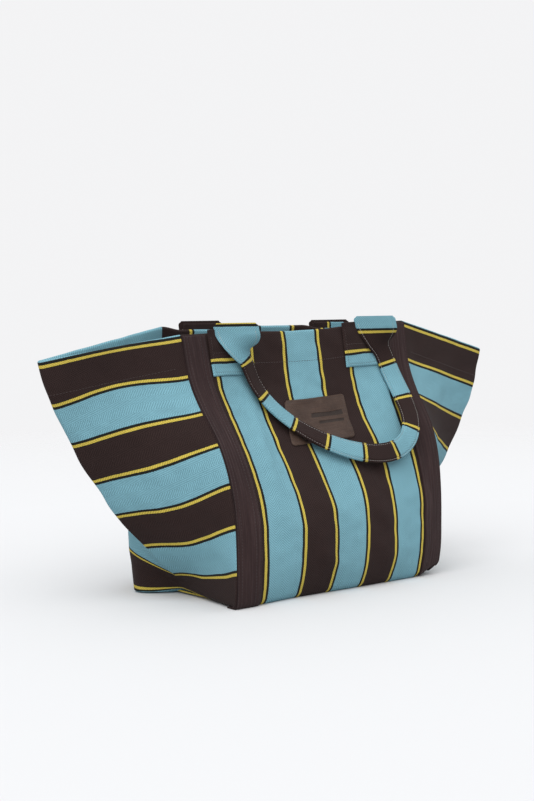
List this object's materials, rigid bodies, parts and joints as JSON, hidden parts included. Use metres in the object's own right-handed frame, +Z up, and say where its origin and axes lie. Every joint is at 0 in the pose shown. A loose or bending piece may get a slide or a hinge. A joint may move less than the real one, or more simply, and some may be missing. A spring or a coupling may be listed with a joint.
{
  "type": "tote bag",
  "caption": "Foldable striped cloth tote bag with flared gussets, two strap handles, ribbed corner bindings and a leather label; it stands open on its flat base.",
  "frame": {"origin": "middle of the base, on the surface the bag stands on", "axes": "+Z up, +X along the width from the left gusset tip to the right one, -Y towards the front side with the label"},
  "size_m": [0.706, 0.2462, 0.332],
  "materials": {
    "striped_cloth": "heavy twill in turquoise and dark brown stripes edged in yellow and black",
    "strap_cloth": "the striped twill folded and edge stitched",
    "base_cloth": "heavy twill",
    "ribbed_binding": "lengthwise ribs and rows of stitches",
    "label_leather": "smooth dark brown leather"
  },
  "bodies": {
    "shell": {"base_panel": "base_cloth", "left_gusset": "striped_cloth", "right_gusset": "striped_cloth", "left_hem": "striped_cloth", "right_hem": "striped_cloth"},
    "front_side": {"front_panel": "striped_cloth", "front_hem": "striped_cloth", "front_left_binding": "ribbed_binding", "front_right_binding": "ribbed_binding", "front_left_tab": "striped_cloth", "front_right_tab": "striped_cloth", "leather_label": "label_leather"},
    "back_side": {"back_panel": "striped_cloth", "back_hem": "striped_cloth", "back_left_binding": "ribbed_binding", "back_right_binding": "ribbed_binding", "back_left_tab": "striped_cloth", "back_right_tab": "striped_cloth"},
    "front_handle": {"front_handle": "strap_cloth"},
    "back_handle": {"back_handle": "strap_cloth"}
  },
  "joints": [
    {"name": "front_fold", "type": "slide", "parent": "shell", "child": "front_side", "axis": [0, 1, 0], "range_m": [0, 0.0235], "deforming": ["left_gusset", "right_gusset", "base_panel", "left_hem", "right_hem", "front_hem", "back_hem"]},
    {"name": "back_fold", "type": "slide", "parent": "shell", "child": "back_side", "axis": [0, 1, 0], "range_m": [-0.0235, 0]},
    {"name": "front_handle_swing", "type": "hinge", "parent": "front_side", "child": "front_handle", "pos_m": [0, -0.0298, 0.3286], "axis": [-1, 0, 0], "range_deg": [0, 155]},
    {"name": "back_handle_swing", "type": "hinge", "parent": "back_side", "child": "back_handle", "pos_m": [0, 0.0298, 0.3286], "axis": [1, 0, 0], "range_deg": [0, 155]}
  ],
  "couplings": [
    {"joint": "back_fold", "follows": "front_fold", "ratio": -1}
  ]
}
